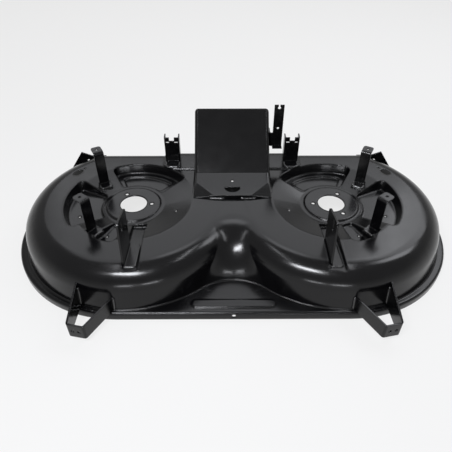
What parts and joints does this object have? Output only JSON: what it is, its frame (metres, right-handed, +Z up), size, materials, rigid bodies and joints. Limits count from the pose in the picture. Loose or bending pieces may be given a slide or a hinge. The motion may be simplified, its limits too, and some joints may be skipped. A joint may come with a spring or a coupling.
{
  "type": "lawn mower deck",
  "caption": "Pressed steel lawn mower deck with joined blade domes, a folded rear discharge tunnel and welded wheel, hanger and cover brackets.",
  "frame": {"origin": "under the middle of the whole part, at the underside of the lip", "axes": "+X to the right seen from the front, +Y to the rear where the tunnel opens, +Z up along the spindles"},
  "size_m": [1.079, 0.5912, 0.286],
  "materials": {
    "shell_coat": "gloss black coat",
    "tunnel_coat": "gloss black coat",
    "bracket_coat": "gloss black coat"
  },
  "bodies": {
    "root": {"deck_shell": "shell_coat", "discharge_tunnel": "tunnel_coat", "tunnel_hook_bracket": "bracket_coat", "rear_cover_post_left": "bracket_coat", "rear_cover_post_right": "bracket_coat", "side_cover_post_left": "bracket_coat", "side_cover_post_right": "bracket_coat", "rear_hanger_left": "bracket_coat", "rear_hanger_right": "bracket_coat", "front_hanger_left": "bracket_coat", "front_hanger_right": "bracket_coat", "front_wheel_bracket_left": "bracket_coat", "front_wheel_bracket_right": "bracket_coat", "rear_wheel_bracket_left": "bracket_coat", "rear_wheel_bracket_right": "bracket_coat"}
  },
  "joints": []
}
